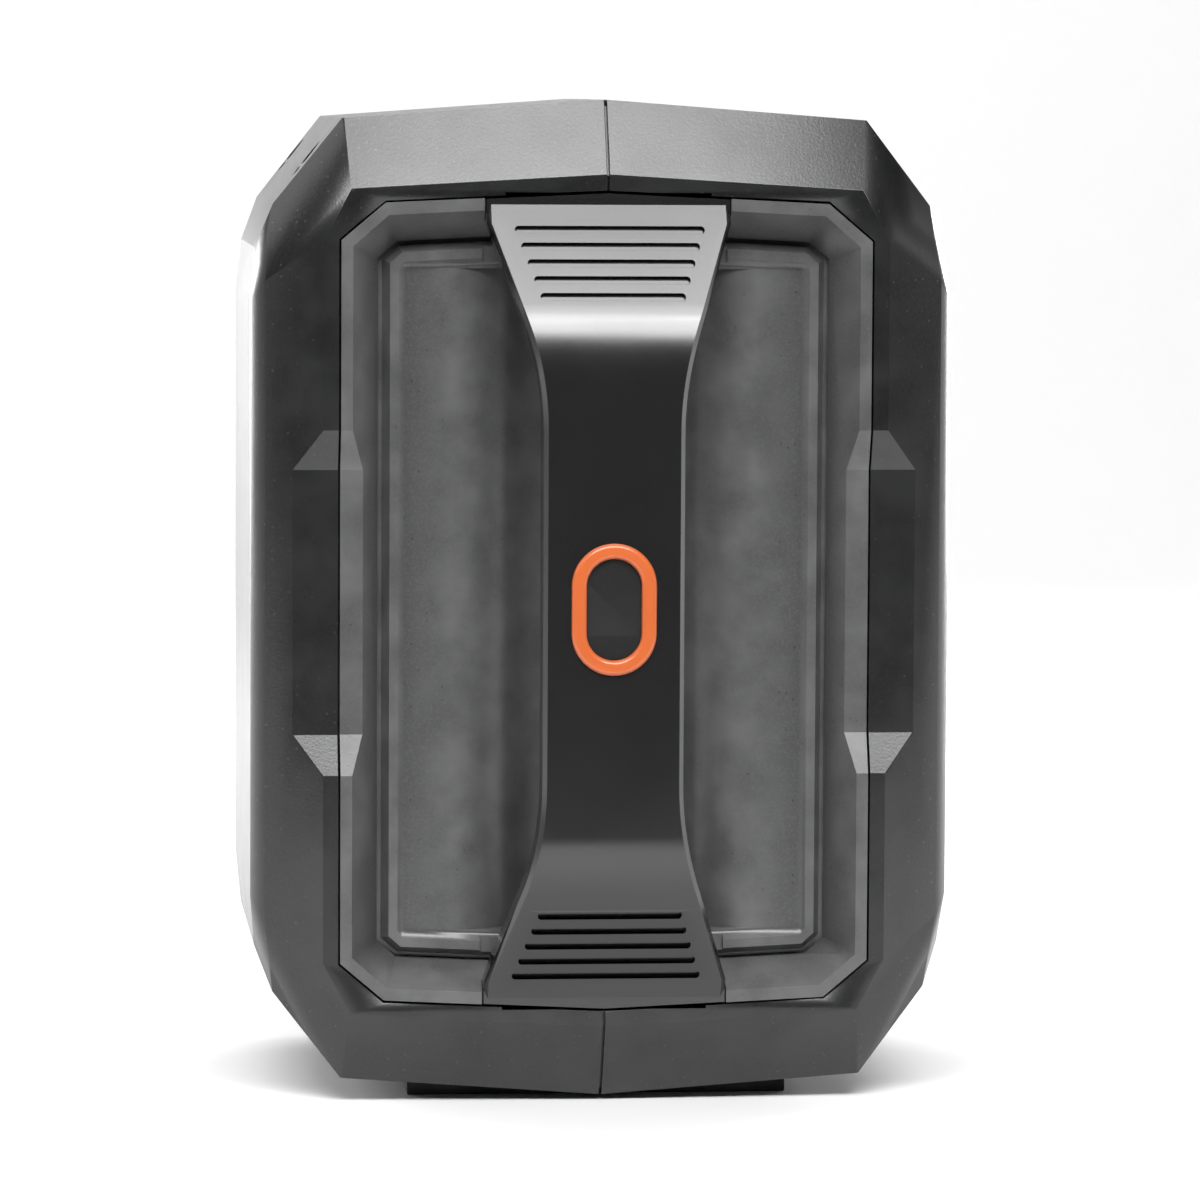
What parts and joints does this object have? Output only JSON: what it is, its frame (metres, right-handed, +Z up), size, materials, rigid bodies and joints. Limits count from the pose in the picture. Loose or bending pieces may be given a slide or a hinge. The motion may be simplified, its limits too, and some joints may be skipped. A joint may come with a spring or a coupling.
{
  "type": "jump starter pack",
  "caption": "Portable car jump starter in a faceted clamshell casing with a bridge carry handle, side control panel, hinged port covers and a sealed battery inside",
  "frame": {"origin": "on the ground under the middle of the whole object", "axes": "+Z up, the carry handle faces -Y, the control panel faces +X"},
  "size_m": [0.1775, 0.1487, 0.2506],
  "materials": {
    "casing": "fine spark-eroded charcoal plastic with light flecks",
    "tray": "fine textured mid grey plastic",
    "handle": "satin black plastic",
    "grip": "soft black rubber",
    "accent": "bright orange plastic",
    "inlay": "charcoal plastic",
    "rubber": "black rubber",
    "steel": "zinc plated",
    "black_steel": "black oxide",
    "panel": "fine textured black plastic",
    "clear": "clear polycarbonate",
    "smoked": "smoked acrylic",
    "display": "display glass",
    "reflector": "vacuum metallised",
    "board": "green solder mask",
    "button": "soft keys",
    "post": "black plastic",
    "port": "nickel plated",
    "socket": "blue nylon",
    "brass": "tin plated brass",
    "battery": "moulded battery case",
    "foam": "closed cell foam",
    "relay": "relay case",
    "fins": "extruded aluminium",
    "capacitor": "sleeved can",
    "cable": "black silicone insulation",
    "red_cable": "red silicone insulation"
  },
  "bodies": {
    "root": {"left_shell": "casing", "right_shell": "casing", "handle_tray": "tray", "carry_handle": "handle", "handle_grip": "grip", "handle_ring": "accent", "handle_pad": "inlay", "handle_screws": "steel", "shell_screws": "black_steel", "base_foot": "rubber", "rest_pads": "rubber", "control_panel": "panel", "panel_screws": "black_steel", "display_lens": "smoked", "lamp_lens": "clear", "display_module": "display", "lamp_reflector": "reflector", "lamp_board": "board", "button_switches": "post", "control_board": "board", "board_posts": "post", "board_spacers": "brass", "board_screws": "steel", "port_bezel": "panel", "port_cover_pin": "steel", "usb_a_ports": "port", "usb_c_port": "port", "charge_jack": "post", "port_board": "board", "jump_bezel": "panel", "jump_cover_pin": "steel", "jump_socket": "socket", "jump_contacts": "brass", "battery_case": "battery", "battery_lid": "battery", "battery_terminals": "brass", "battery_foam": "foam", "battery_clamp": "black_steel", "power_board": "board", "relay": "relay", "heat_sink": "fins", "capacitors": "capacitor", "buzzer": "post", "fuse_holder": "post", "main_fuse": "brass", "negative_lead": "cable", "positive_lead": "red_cable"},
    "lamp_key": {"lamp_button": "button"},
    "power_key": {"power_button": "accent"},
    "boost_key": {"boost_button": "button"},
    "port_flap": {"port_cover": "panel"},
    "jump_flap": {"jump_cover": "panel"}
  },
  "joints": [
    {"name": "lamp_button_press", "type": "slide", "parent": "root", "child": "lamp_key", "axis": [-1, 0, 0], "range_m": [0, 0.0012], "stiffness_N_per_m": 600, "springref_m": -0.0005},
    {"name": "power_button_press", "type": "slide", "parent": "root", "child": "power_key", "axis": [-1, 0, 0], "range_m": [0, 0.0012], "stiffness_N_per_m": 600, "springref_m": -0.0005},
    {"name": "boost_button_press", "type": "slide", "parent": "root", "child": "boost_key", "axis": [-1, 0, 0], "range_m": [0, 0.0012], "stiffness_N_per_m": 600, "springref_m": -0.0005},
    {"name": "port_cover_swing", "type": "hinge", "parent": "root", "child": "port_flap", "pos_m": [0.0863, 0.00875, 0.1146], "axis": [0, -1, 0], "range_deg": [0, 95]},
    {"name": "jump_cover_swing", "type": "hinge", "parent": "root", "child": "jump_flap", "pos_m": [0.0863, 0.00875, 0.0796], "axis": [0, -1, 0], "range_deg": [0, 95]}
  ]
}
